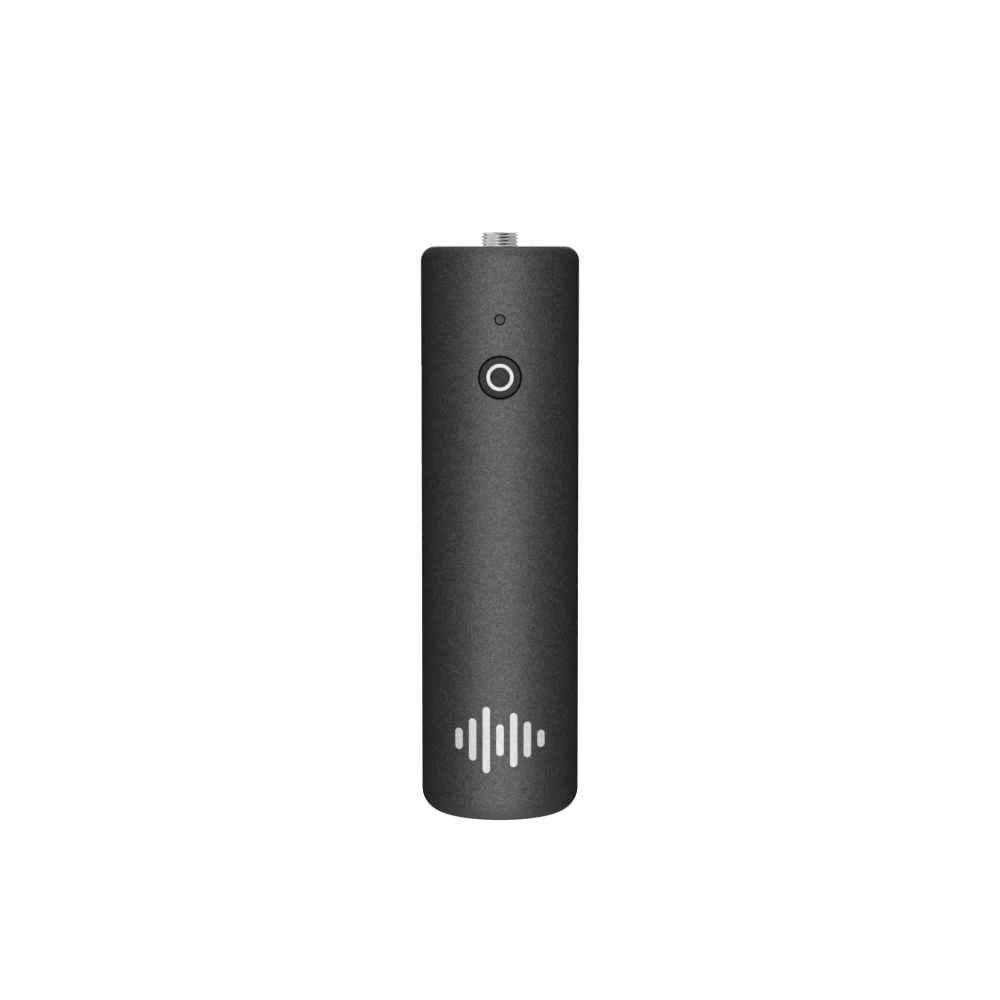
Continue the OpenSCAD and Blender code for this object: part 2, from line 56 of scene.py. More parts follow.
class Shell:
    """A closed mesh built from loops of points, in millimetres."""

    def __init__(self):
        self.points = []
        self.faces = []

    def loop(self, points):
        start = len(self.points)
        self.points += [tuple(p) for p in points]
        return list(range(start, start + len(points)))

    def join(self, a, b):
        for i in range(len(a)):
            j = (i + 1) % len(a)
            self.faces.append((a[i], a[j], b[j], b[i]))

    def chain(self, loops):
        for a, b in zip(loops, loops[1:]):
            self.join(a, b)

    def close(self, a, point):
        centre = self.loop([point])[0]
        for i in range(len(a)):
            self.faces.append((a[i], a[(i + 1) % len(a)], centre))

    def fill(self, *loops):
        """Fills the flat region between loops that share its outline and its holes."""
        bm = bmesh.new()
        index_of = {}
        edges = []
        for one in loops:
            made = [bm.verts.new(self.points[i]) for i in one]
            for v, i in zip(made, one):
                index_of[v] = i
            for i in range(len(made)):
                edges.append(bm.edges.new((made[i], made[(i + 1) % len(made)])))
        bmesh.ops.triangle_fill(bm, use_beauty=True, use_dissolve=False, edges=edges)
        for f in bm.faces:
            self.faces.append(tuple(index_of[v] for v in f.verts))
        bm.free()

    def object(self, name, body, node, sharp=32, place=None):
        """Makes the object, riding on body and standing for the CAD node."""
        mesh = bpy.data.meshes.new(name)
        points = [place(p) if place else p for p in self.points]
        mesh.from_pydata([Vector(p) * MM for p in points], [], self.faces)
        bm = bmesh.new()
        bm.from_mesh(mesh)
        bmesh.ops.remove_doubles(bm, verts=bm.verts, dist=1e-7)
        bmesh.ops.recalc_face_normals(bm, faces=bm.faces)
        bm.to_mesh(mesh)
        bm.free()
        for p in mesh.polygons:
            p.use_smooth = True
        mesh.set_sharp_from_angle(angle=math.radians(sharp))
        made = bpy.data.objects.new(name, mesh)
        scene.collection.objects.link(made)
        weigh = made.modifiers.new("even_normals", "WEIGHTED_NORMAL")
        weigh.keep_sharp = True
        weigh.weight = 80
        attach(made, body)
        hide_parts(node)
        return made


def circle(r, z, n, centre=(0, 0)):
    out = []
    for i in range(n):
        a = 2 * math.pi * i / n
        out.append((centre[0] + r * math.cos(a), centre[1] + r * math.sin(a), z))
    return out


def stadium(w, t, z, n):
    """Points round a slab with round ends, w wide and t thick; n is a multiple of 4."""
    half, r, out = (w - t) / 2, t / 2, []
    for side in (1, -1):
        for i in range(n // 2):
            a = math.pi * i / (n // 2 - 1) - math.pi / 2
            out.append((side * (half + r * math.cos(a)), side * r * math.sin(a), z))
    return out


def quarter(steps, first=0):
    """The sine and cosine at each step of a quarter turn."""
    angles = [math.pi / 2 * k / steps for k in range(first, steps + 1)]
    return [(math.sin(a), math.cos(a)) for a in angles]


def rounded(corners, steps=5):
    """A path through corners given as (x, y, rounding radius)."""
    out = []
    for i, (x, y, r) in enumerate(corners):
        if r <= 0 or i in (0, len(corners) - 1):
            out.append((x, y))
            continue
        p = Vector((x, y))
        a = (Vector(corners[i - 1][:2]) - p).normalized()
        b = (Vector(corners[i + 1][:2]) - p).normalized()
        half = a.angle(b) / 2
        reach = r / math.tan(half)
        centre = p + (a + b).normalized() * (r / math.sin(half))
        start, end = p + a * reach - centre, p + b * reach - centre
        turn = start.angle_signed(end)
        for k in range(steps + 1):
            t = -turn * k / steps
            c, s = math.cos(t), math.sin(t)
            out.append((centre.x + start.x * c - start.y * s, centre.y + start.x * s + start.y * c))
    return out


def soften(a, corner, b, steps=4):
    """Points that round a corner between a and b with a small curve."""
    out = []
    for k in range(steps + 1):
        t = k / steps
        out.append(tuple(
            (1 - t) ** 2 * a[i] + 2 * t * (1 - t) * corner[i] + t * t * b[i] for i in (0, 1)
        ))
    return out


def lathe(path, n=96):
    """A shell turned round Z from a path of (radius, height). An end on the axis closes it."""
    made = Shell()
    loops = [None if r < 1e-6 else made.loop(circle(r, z, n)) for r, z in path]
    for a, b in zip(loops, loops[1:]):
        if a and b:
            made.join(a, b)
    if loops[0] is None:
        made.close(loops[1], (0, 0, path[0][1]))
    if loops[-1] is None:
        made.close(loops[-2], (0, 0, path[-1][1]))
    if loops[0] and loops[-1]:
        made.join(loops[-1], loops[0])
    return made


def to_front(z):
    """Places a shape made along +Z so that it points to the front at height z."""
    return lambda p: (p[0], -p[2], z + p[1])


# ---------------------------------------------------------------- sizes, in millimetres

_, sleeve_hi = mm_box("housing_sleeve")
cap_lo, cap_hi = mm_box("button_cap")
pipe_lo, pipe_hi = mm_box("light_pipe")
port_lo, port_hi = mm_box("usb_shell")
screw_lo, screw_hi = mm_box("base_screws")
plate_lo, plate_hi = mm_box("top_plate")
chassis_lo, _ = mm_box("chassis")
bushing_lo, bushing_hi = mm_box("jack_bushing")

# the tube: its radius and height, its bore and floor, and its roundings
R, H = sleeve_hi[0], sleeve_hi[2]
BORE, FLOOR = plate_hi[0] + 0.05, chassis_lo[2] - 0.05
FOOT, RIM, FLOOR_CORNER = 3.5, 2.2, 1.0
LIP, LIP_LOW = 0.18, 0.25
AROUND = 192

# the button and the status light on the front
BUTTON_Z = (cap_lo[2] + cap_hi[2]) / 2
BUTTON_R, BUTTON_HOLE, BUTTON_HOLE_EDGE = 3.025, 3.245, 0.14
BUTTON_BACK, BUTTON_FACE = -cap_hi[1], -cap_lo[1]
BUTTON_FLANGE_R, BUTTON_FLANGE_FACE = 3.9, 8.5
CORNER = 0.16
DISH_EDGE, DISH_DEPTH = BUTTON_R - CORNER, 0.25
DISH_R = (DISH_EDGE ** 2 + DISH_DEPTH ** 2) / (2 * DISH_DEPTH)
RING_OUT = mm_box("button_ring")[1][0]
RING_IN = RING_OUT - 0.55
RING_GROOVE, RING_DEEP, RING_GAP = 0.8, 0.79, 0.01
LED_Z = (pipe_lo[2] + pipe_hi[2]) / 2
LED_R, LED_HOLE, LED_HOLE_EDGE = 0.675, 0.825, 0.084
LED_BACK, LED_FACE = -pipe_hi[1], -pipe_lo[1]
LED_FLANGE, LED_FLANGE_LOW, LED_FLANGE_HIGH = 0.6, 1.2, 1.8

# a fine square grid surrounds each hole: the size of its cells, and cells from centre to edge
CELL = 0.4
BUTTON_CELLS, LED_CELLS = 12, 6

# the base: the charging port's slot and the two screws' counterbores
PORT_GAP, PORT_FLARE, PORT_WALL = 0.4, 0.35, 0.3
SCREW_Y = (screw_hi[1] - screw_lo[1]) / 2 - 1.75
HEAD_HOLE, HEAD_DEEP, SCREW_HOLE, SCREW_EDGE = 1.9, 1.1, 1.1, 0.1

# the top plate: its hole, the nut's recess and the seal's groove
PLATE_HOLE, RECESS_R, RECESS_DEEP = 2.83, 4.25, 1.05
SEAL_DEEP, SEAL_LOW, SEAL_HIGH = 0.87, 0.6, 1.6

# the collar: its thread, its bore and its hexagonal shoulder
CREST, ROOT, PITCH = 2.75, 2.45, 0.5
LEAD_R, LEAD_SLOPE, MOUTH = 2.52, 1.15, 2.08
COLLAR_BORE, HEX_R = 1.8, 4.28
SHOULDER_LOW, SHOULDER_HIGH = bushing_lo[2] + 1.4, bushing_lo[2] + 2.6


# ---------------------------------------------------------------- housing

def ring_at(made, r, z):
    """A loop round the tube, with its first point at the front."""
    step = 2 * math.pi / AROUND
    return made.loop([
        (r * math.sin(k * step), -r * math.cos(k * step), z) for k in range(AROUND)
    ])


def rows_between(a, b, count):
    """Row heights after a, up to and including b."""
    return [a + (b - a) * i / count for i in range(1, count + 1)]


BUTTON_PATCH, LED_PATCH = BUTTON_CELLS * CELL, LED_CELLS * CELL
BANDS = (
    rows_between(FOOT, BUTTON_Z - BUTTON_PATCH, 36)
    + rows_between(BUTTON_Z - BUTTON_PATCH, BUTTON_Z + BUTTON_PATCH, 2 * BUTTON_CELLS)
    + rows_between(BUTTON_Z + BUTTON_PATCH, LED_Z - LED_PATCH, 3)
    + rows_between(LED_Z - LED_PATCH, LED_Z + LED_PATCH, 2 * LED_CELLS)
    + rows_between(LED_Z + LED_PATCH, H - RIM, 6)[:-1]
)


def wall_grid(made, r, z_low, z_high, bands, hole_cells):
    """A cylinder wall of radius r with round holes to the front. bands gives the row heights.

    hole_cells lists (height, hole radius, cells from the centre to the patch's edge).
    Returns the bottom loop, the top loop, and one loop for each hole.
    """
    step = 2 * math.pi / AROUND
    rows = [z_low] + [z for z in bands if z_low < z < z_high] + [z_high]
    grid = [ring_at(made, r, z) for z in rows]

    def in_patch(i, k):
        side = k if k < AROUND / 2 else k - AROUND
        z = (rows[i] + rows[i + 1]) / 2
        for height, _, cells in hole_cells:
            if abs(z - height) < cells * CELL and -cells <= side < cells:
                return True
        return False

    for i in range(len(rows) - 1):
        for k in range(AROUND):
            if not in_patch(i, k):
                j = (k + 1) % AROUND
                made.faces.append((grid[i][k], grid[i][j], grid[i + 1][j], grid[i + 1][k]))

    # loops turn the square edge of each patch into its round hole
    holes = []
    for height, hole_r, cells in hole_cells:
        centre = min(range(len(rows)), key=lambda i: abs(rows[i] - height))
        border = (
            [(cells, v) for v in range(0, cells)]
            + [(-u, cells) for u in range(-cells, cells)]
            + [(-cells, -v) for v in range(-cells, cells)]
            + [(u, -cells) for u in range(-cells, cells)]
            + [(cells, v) for v in range(-cells, 0)]
        )
        last = [grid[centre + v][u % AROUND] for u, v in border]
        loops = 7
        for loop in range(1, loops + 1):
            t = 1 - (1 - loop / loops) ** 1.5
            points = []
            for i, (u, v) in enumerate(border):
                a = 2 * math.pi * i / len(border)
                x, z = hole_r * math.cos(a), height + hole_r * math.sin(a)
                across, up = u * step, height + v * CELL
                angle, level = across + (math.asin(x / r) - across) * t, up + (z - up) * t
                points.append((r * math.sin(angle), -r * math.cos(angle), level))
            new = made.loop(points)
            made.join(last, new)
            last = new
        holes.append(last)
    return grid[0], grid[-1], holes


def build_sleeve():
    """The tube: walls with two holes, a rounded rim and foot, and a base with its openings."""
    made = Shell()
    holes = (
        (BUTTON_Z, BUTTON_HOLE, BUTTON_CELLS, BUTTON_HOLE_EDGE),
        (LED_Z, LED_HOLE, LED_CELLS, LED_HOLE_EDGE),
    )
    low, high, outside = wall_grid(
        made, R, FOOT, H - RIM, BANDS, [(z, r + edge, cells) for z, r, cells, edge in holes]
    )
    in_low, in_high, inside = wall_grid(
        made, BORE, FLOOR + FLOOR_CORNER, H - LIP_LOW, BANDS + [H - RIM], [h[:3] for h in holes]
    )

    # the walls of the holes, with a rounded outer edge
    for (z, r, _, edge), out_loop, in_loop in zip(holes, outside, inside):
        last = out_loop
        for s, c in quarter(4, 1):
            rho, deep = r + edge - edge * s, edge - edge * c
            points = []
            for x, up, _ in circle(rho, 0, len(out_loop)):
                points.append((x, -math.sqrt(R * R - x * x) + deep, z + up))
            new = made.loop(points)
            made.join(last, new)
            last = new
        made.join(last, in_loop)

    # the rim and its inner lip, then the foot, then the inner corner of the floor
    rim = [(R - RIM + RIM * c, H - RIM + RIM * s) for s, c in quarter(12, 1)]
    rim += [(BORE + LIP - LIP * s, H - LIP + LIP * c) for s, c in quarter(5)]
    made.chain([high] + [ring_at(made, r, z) for r, z in rim] + [in_high])
    foot = [low]
    foot += [ring_at(made, R - FOOT + FOOT * c, FOOT - FOOT * s) for s, c in quarter(16, 1)]
    made.chain(foot)
    corner = [in_low]
    for s, c in quarter(6, 1):
        corner.append(ring_at(
            made, BORE - FLOOR_CORNER + FLOOR_CORNER * c, FLOOR + FLOOR_CORNER - FLOOR_CORNER * s
        ))
    made.chain(corner)

    # the charging port's slot and the screws' counterbores, each with a rounded lead-in
    w, t = port_hi[0] - port_lo[0] + PORT_GAP, port_hi[1] - port_lo[1] + PORT_GAP
    slot = []
    for s, c in quarter(5):
        wider = 2 * PORT_FLARE * (1 - s)
        slot.append(made.loop(stadium(w + wider, t + wider, PORT_FLARE * (1 - c), 80)))
    slot.append(made.loop(stadium(w, t, FLOOR, 80)))
    openings = [slot]
    for side in (-1, 1):
        path = [(HEAD_HOLE + SCREW_EDGE * (1 - s), SCREW_EDGE * (1 - c)) for s, c in quarter(3)]
        path += [(HEAD_HOLE, HEAD_DEEP), (SCREW_HOLE, HEAD_DEEP), (SCREW_HOLE, FLOOR)]
        openings.append([made.loop(circle(r, z, 64, (0, side * SCREW_Y))) for r, z in path])
    for loops in openings:
        made.chain(loops)
    made.fill(foot[-1], *(loops[0] for loops in openings))
    made.fill(corner[-1], *(loops[-1] for loops in openings))
    return made.object("sleeve", "housing", "housing_sleeve", 40)


sleeve = build_sleeve()

# ---------------------------------------------------------------- top

plate_path = rounded([
    (PLATE_HOLE, plate_lo[2], 0),
    (plate_hi[0], plate_lo[2], 0.15),
    (plate_hi[0], plate_lo[2] + SEAL_LOW, 0),
    (BORE - SEAL_DEEP, plate_lo[2] + SEAL_LOW, 0),
    (BORE - SEAL_DEEP, plate_lo[2] + SEAL_HIGH, 0),
    (plate_hi[0], plate_lo[2] + SEAL_HIGH, 0),
    (plate_hi[0], plate_hi[2], 0.18),
    (RECESS_R, plate_hi[2], 0.07),
    (RECESS_R, plate_hi[2] - RECESS_DEEP, 0.03),
    (PLATE_HOLE, plate_hi[2] - RECESS_DEEP, 0.05),
])
plate = lathe(plate_path, 160).object("plate", "housing", "top_plate")


def build_collar():
    """The jack's threaded barrel: a helical ridge, a chamfered mouth and a hexagonal shoulder."""
    made = Shell()
    sides, rows = 132, 170
    bottom, top = bushing_lo[2], bushing_hi[2]
    thread_top = top - 0.02

    def ring(radius, z):
        angles = [2 * math.pi * i / sides for i in range(sides)]
        return made.loop([(radius(a) * math.cos(a), radius(a) * math.sin(a), z) for a in angles])

    def hexagon(a):
        return HEX_R * math.cos(math.pi / 6) / math.cos(a % (math.pi / 3) - math.pi / 6)

    def thread(z):
        def radius(a):
            phase = ((z - SHOULDER_HIGH) / PITCH - a / (2 * math.pi)) % 1
            share = min(1, max(0, (min(phase, 1 - phase) * 2 - 0.14) / 0.72))
            share = (share * share * (3 - 2 * share) + share) / 2
            run_out = min(1, max(0, (z - SHOULDER_HIGH - 0.3) / 0.5))
            lead = LEAD_R + (top - z) * LEAD_SLOPE
            return max(min(ROOT + (CREST - ROOT) * share * run_out, lead), min(ROOT, lead))
        return radius

    loops = []
    for i in range(rows + 1):
        z = SHOULDER_HIGH + (thread_top - SHOULDER_HIGH) * i / rows
        loops.append(ring(thread(z), z))
    for r, z in rounded([
        (ROOT, thread_top, 0), (2.41, top, 0), (MOUTH, top, 0.03), (COLLAR_BORE, top - 0.26, 0.08),
        (COLLAR_BORE, bottom, 0), (ROOT, bottom, 0), (ROOT, SHOULDER_LOW, 0),
    ], 3):
        loops.append(made.loop(circle(r, z, sides)))
    loops += [ring(hexagon, SHOULDER_LOW), ring(hexagon, SHOULDER_HIGH)]
    made.chain(loops + [loops[0]])
    return made.object("collar", "housing", "jack_bushing", 50)


collar = build_collar()

# ---------------------------------------------------------------- controls


def dish(r):
    """The height of the button's hollow face at radius r."""
    return BUTTON_FACE - DISH_DEPTH + DISH_R - math.sqrt(DISH_R ** 2 - r ** 2)


def on_dish(r, below=0.0):
    return (r, dish(r) - below)


def dish_path(r0, r1, count):
    return [on_dish(r0 + (r1 - r0) * i / count) for i in range(count + 1)]


def build_cap():
    groove = BUTTON_FACE - RING_GROOVE
    path = [
        (0, BUTTON_BACK),
        (BUTTON_FLANGE_R - 0.1, BUTTON_BACK),
        (BUTTON_FLANGE_R, BUTTON_BACK + 0.1),
        (BUTTON_FLANGE_R, BUTTON_FLANGE_FACE - 0.08),
        (BUTTON_FLANGE_R - 0.08, BUTTON_FLANGE_FACE),
        (BUTTON_R, BUTTON_FLANGE_FACE),
    ]
    path += soften(
        (BUTTON_R, BUTTON_FACE - CORNER), (BUTTON_R, BUTTON_FACE),
        (BUTTON_R - CORNER, BUTTON_FACE - 0.002),
    )
    path += dish_path(DISH_EDGE - 0.12, RING_OUT + 0.05, 7)
    edge = (RING_OUT + 0.03, dish(RING_OUT))
    path += soften(edge, on_dish(RING_OUT), on_dish(RING_OUT, 0.04))
    path += [(RING_OUT, groove), (RING_IN, groove)]
    path += soften(on_dish(RING_IN, 0.04), on_dish(RING_IN), on_dish(RING_IN - 0.03))
    path += dish_path(RING_IN - 0.06, 0.08, 8) + [on_dish(0)]
    return lathe(path, 128).object("button", "button", "button_cap", place=to_front(BUTTON_Z))


def build_ring():
    inner, outer = RING_IN + RING_GAP, RING_OUT - RING_GAP
    foot = BUTTON_FACE - RING_DEEP
    path = [(inner, foot)]
    path += soften(on_dish(inner, 0.05), on_dish(inner, 0.004), on_dish(inner + 0.05))
    path += dish_path(inner + 0.08, outer - 0.08, 5)
    path += soften(on_dish(outer - 0.05), on_dish(outer, 0.004), on_dish(outer, 0.05))
    path += [(outer, foot)]
    return lathe(path, 128).object(
        "button_light_ring", "button", "button_ring", place=to_front(BUTTON_Z)
    )


def build_lens():
    flange_r, round_r = LED_R + LED_FLANGE, 0.08
    path = rounded([
        (0, LED_BACK, 0), (LED_R, LED_BACK, 0.1), (LED_R, LED_BACK + LED_FLANGE_LOW, 0),
        (flange_r, LED_BACK + LED_FLANGE_LOW, round_r),
        (flange_r, LED_BACK + LED_FLANGE_HIGH, round_r),
        (LED_R, LED_BACK + LED_FLANGE_HIGH, 0), (LED_R, LED_FACE - 0.06, round_r),
        (0, LED_FACE, 0),
    ])
    return lathe(path, 64).object("status_lens", "housing", "light_pipe", place=to_front(LED_Z))


def build_port():
    """The charging port's shell: a stadium tube with rounded front edges."""
    made = Shell()
    w, t = port_hi[0] - port_lo[0], port_hi[1] - port_lo[1]
    low, high = port_lo[2], port_hi[2]
    path = rounded([(0, high, 0), (0, low, 0.1), (-PORT_WALL, low, 0.12), (-PORT_WALL, high, 0)], 4)
    loops = [made.loop(stadium(w + 2 * off, t + 2 * off, z, 80)) for off, z in path]
    made.chain(loops + [loops[0]])
    return made.object("port_shell", "housing", "usb_shell")


cap = build_cap()
ring = build_ring()
lens = build_lens()
port = build_port()

# ---------------------------------------------------------------- materials


class Graph:
    """A material's nodes. The shader's sockets are set by name."""

    def __init__(self, name, **values):
        self.material = bpy.data.materials.new(name)
        self.material.use_nodes = True
        self.tree = self.material.node_tree
        self.shader = self.tree.nodes["Principled BSDF"]
        for key, value in values.items():
            self.shader.inputs[key.replace("_", " ")].default_value = value
        self.at = self.node("ShaderNodeTexCoord").outputs["Object"]

    def node(self, kind, **settings):
        made = self.tree.nodes.new(kind)
        for key, value in settings.items():
            setattr(made, key, value)
        return made

    def link(self, a, b):
        self.tree.links.new(a, b)

    def spread(self, scale=(1, 1, 1)):
        """Coordinates in millimetres, stretched by scale."""
        made = self.node("ShaderNodeMapping")
        made.inputs["Scale"].default_value = [s / MM for s in scale]
        self.link(self.at, made.inputs["Vector"])
        return made.outputs["Vector"]

    def noise(self, scale, detail=2.0, rough=0.5, stretch=(1, 1, 1)):
        """Noise with features about 1 / scale millimetres across."""
        made = self.node("ShaderNodeTexNoise")
        made.inputs["Scale"].default_value = scale
        made.inputs["Detail"].default_value = detail
        made.inputs["Roughness"].default_value = rough
        self.link(self.spread(stretch), made.inputs["Vector"])
        return made.outputs["Fac"]

    def cells(self, scale):
        made = self.node("ShaderNodeTexVoronoi")
        made.inputs["Scale"].default_value = scale
        self.link(self.spread(), made.inputs["Vector"])
        return made

    def range(self, value, low, high, a, b):
        made = self.node("ShaderNodeMapRange")
        for key, number in zip(("From Min", "From Max", "To Min", "To Max"), (low, high, a, b)):
            made.inputs[key].default_value = number
        self.link(value, made.inputs["Value"])
        return made.outputs["Result"]

    def math(self, operation, a, b):
        made = self.node("ShaderNodeMath", operation=operation)
        for socket, value in zip(made.inputs, (a, b)):
            if isinstance(value, (int, float)):
                socket.default_value = value
            else:
                self.link(value, socket)
        return made.outputs[0]

    def mix(self, share, a, b):
        made = self.node("ShaderNodeMix", data_type="RGBA")
        self.link(share, made.inputs["Factor"])
        for socket, value in zip((made.inputs[6], made.inputs[7]), (a, b)):
            if isinstance(value, (tuple, list)):
                socket.default_value = (*value, 1)
            else:
                self.link(value, socket)
        return made.outputs[2]

    def colour(self, value):
        self.link(value, self.shader.inputs["Base Color"])

    def rough(self, value):
        self.link(value, self.shader.inputs["Roughness"])

    def bump(self, height, depth_mm, strength=1.0):
        made = self.node("ShaderNodeBump")
        made.inputs["Strength"].default_value = strength
        made.inputs["Distance"].default_value = depth_mm * MM
        self.link(height, made.inputs["Height"])
        self.link(made.outputs["Normal"], self.shader.inputs["Normal"])


def grey(level):
    return (level, level, level)


def speckled(name, dark, light, grain, rough, bump_mm, specular=0.5):
    """Textured moulding or coating: a fine grain in colour, gloss and height, with slow variation."""
    g = Graph(name)
    g.shader.inputs["Specular IOR Level"].default_value = specular
    fine = g.noise(grain, 2.5, 0.6)
    slow = g.noise(0.11, 3, 0.5)
    tone = g.mix(g.range(fine, 0.32, 0.7, 0.0, 1.0), dark, light)
    paler = tuple(min(1, c * 1.5) for c in light)
    g.colour(g.mix(g.range(slow, 0.35, 0.65, 0.0, 0.12), tone, paler))
    gloss = g.math("ADD", fine, g.math("MULTIPLY", slow, 0.5))
    g.rough(g.range(gloss, 0.4, 1.1, rough + 0.07, rough - 0.07))
    g.bump(fine, bump_mm)
    return g


def turned(name, tone, rough, stretch, depth_mm=0.004, tint=0.06):
    """Metal with fine machining or rolling lines along the axes whose stretch is small."""
    g = Graph(name, Metallic=1.0)
    lines = g.noise(9, 2, 0.6, stretch)
    blotch = g.noise(0.9, 3, 0.55)
    worn = tuple(max(0, c - tint) for c in tone)
    g.colour(g.mix(g.range(blotch, 0.35, 0.7, 0, 1), tone, worn))
    g.rough(g.range(g.math("ADD", lines, blotch), 0.6, 1.4, rough - 0.06, rough + 0.09))
    g.bump(lines, depth_mm)
    return g


def housing_material():
    """Fine blasted anthracite coating with scattered pale flakes, paler at both ends: a little rubbed
    wear, and along the rim also a painted highlight line.
    """
    g = Graph("housing_coating", Metallic=0.0)
    g.shader.inputs["IOR"].default_value = 1.6
    fine = g.noise(3.8, 2.5, 0.65)
    finer = g.noise(8.0, 1.5, 0.5)
    slow = g.noise(0.05, 2, 0.5)
    grain = g.math("ADD", g.math("MULTIPLY", fine, 0.65), g.math("MULTIPLY", finer, 0.35))
    flake = g.node("ShaderNodeSeparateColor")
    g.link(g.cells(4.4).outputs["Color"], flake.inputs["Color"])
    glint = g.range(flake.outputs["Red"], 0.9, 1.0, 0.0, 1.0)
    tone = g.mix(g.range(grain, 0.45, 0.62, 0, 1), grey(0.0002), (0.034, 0.034, 0.0343))
    tone = g.mix(g.math("MULTIPLY", glint, 0.2), tone, grey(0.08))
    tone = g.mix(g.range(slow, 0.3, 0.7, 0.0, 0.08), tone, grey(0.04))
    place = g.node("ShaderNodeSeparateXYZ")
    g.link(g.at, place.inputs["Vector"])
    # paler at both ends: rubbed wear, and along the rim also a painted highlight line
    ends = g.math(
        "MAXIMUM",
        g.range(place.outputs["Z"], (H - 0.5) * MM, (H - 0.1) * MM, 0.0, 1.0),
        g.range(place.outputs["Z"], 0.5 * MM, 0.05 * MM, 0.0, 1.0),
    )
    wear_and_rim_highlight = g.math("MULTIPLY", ends, g.range(g.noise(0.8, 4, 0.6), 0.46, 0.62, 0.0, 1.0))
    g.colour(g.mix(g.math("MULTIPLY", wear_and_rim_highlight, 0.22), tone, grey(0.06)))
    gloss = g.math("ADD", grain, g.math("MULTIPLY", g.math("ADD", wear_and_rim_highlight, slow), 0.05))
    g.rough(g.range(gloss, 0.4, 0.63, 0.66, 0.53))
    g.bump(g.math("ADD", grain, g.math("MULTIPLY", glint, 0.1)), 0.07, 1.0)
    return g


def ring_material():
    """White translucent plastic with a soft, slightly uneven surface."""
    g = Graph("ring_translucent_white", Roughness=0.4)
    g.shader.inputs["Subsurface Weight"].default_value = 0.25
    g.shader.inputs["Subsurface Radius"].default_value = (0.0006, 0.0005, 0.0005)
    slow = g.noise(0.8, 2)
    fine = g.noise(5, 2)
    g.colour(g.mix(g.range(slow, 0.35, 0.65, 0, 1), (0.38, 0.38, 0.376), grey(0.425)))
    g.rough(g.range(fine, 0.3, 0.7, 0.34, 0.48))
    g.bump(fine, 0.004)
    return g


def lens_material():
    """Smoked plastic: dark, with a faint coat."""
    g = Graph("smoked_lens", Roughness=0.3)
    g.shader.inputs["Specular IOR Level"].default_value = 0.22
    g.shader.inputs["Coat Weight"].default_value = 0.1
    g.shader.inputs["Coat Roughness"].default_value = 0.25
    deep = g.noise(1.6, 2)
    fine = g.noise(7, 2)
    g.colour(g.mix(g.range(deep, 0.35, 0.65, 0, 1), (0.009, 0.009, 0.0094), (0.0165, 0.0165, 0.017)))
    g.rough(g.range(fine, 0.3, 0.7, 0.26, 0.4))
    g.bump(fine, 0.003)
    return g


def ink_material():
    """Pale printing ink that takes up the grain of the coating under it."""
    g = Graph("mark_ink")
    g.shader.inputs["Specular IOR Level"].default_value = 0.85
    grain = g.noise(3.6, 2.5, 0.65)
    pores = g.cells(5.5)
    g.colour(g.mix(g.range(grain, 0.36, 0.66, 0, 1), (0.315, 0.315, 0.317), (0.41, 0.41, 0.413)))
    g.rough(g.range(grain, 0.3, 0.7, 0.62, 0.46))
    height = g.math("ADD", grain, g.math("MULTIPLY", pores.outputs["Distance"], 0.2))
    g.bump(height, 0.014, 0.6)
    return g


def board_material():
    """Green solder mask over copper tracks that show as paler lines."""
    g = Graph("solder_mask", Roughness=0.3)
    tracks = g.node("ShaderNodeTexBrick")
    for key, value in (
        ("Scale", 0.9), ("Mortar Size", 0.05), ("Brick Width", 2.4), ("Row Height", 0.35),
    ):
        tracks.inputs[key].default_value = value
    turn = g.node("ShaderNodeMapping")
    turn.inputs["Rotation"].default_value = (math.pi / 2, 0, 0)
    g.link(g.spread(), turn.inputs["Vector"])
    g.link(turn.outputs["Vector"], tracks.inputs["Vector"])
    fine = g.noise(2.2, 3)
    mask = g.mix(g.range(fine, 0.35, 0.65, 0, 1), (0.008, 0.07, 0.03), (0.012, 0.1, 0.04))
    g.colour(g.mix(tracks.outputs["Fac"], mask, (0.03, 0.19, 0.08)))
    g.rough(g.range(fine, 0.3, 0.7, 0.26, 0.4))
    g.bump(g.math("ADD", tracks.outputs["Fac"], g.math("MULTIPLY", fine, 0.3)), 0.02)
    return g


def paint(thing, g):
    thing.data.materials.clear()
    thing.data.materials.append(g.material)


# the pieces made here: piece, material, the name of its slot
for piece, g, slot_name in (
    (sleeve, housing_material(), "housing"),
    (plate, speckled(
        "top_plate_moulding", (0.012, 0.012, 0.013), (0.03, 0.03, 0.032), 3.4, 0.5, 0.012
    ), "top_plate"),
    (collar, turned("nickel_plating", (0.7, 0.7, 0.695), 0.2, (1, 1, 6), 0.0004), "nickel"),
    (cap, speckled(
        "button_moulding", (0.002, 0.002, 0.0021), (0.0165, 0.0165, 0.0168), 3.2, 0.55, 0.02, 0.17
    ), "button"),
    (ring, ring_material(), "button_ring"),
    (lens, lens_material(), "light_pipe"),
    (port, turned("port_steel", grey(0.6), 0.26, (1, 1, 0.15), 0.003), "port_steel"),
):
    paint(piece, g)

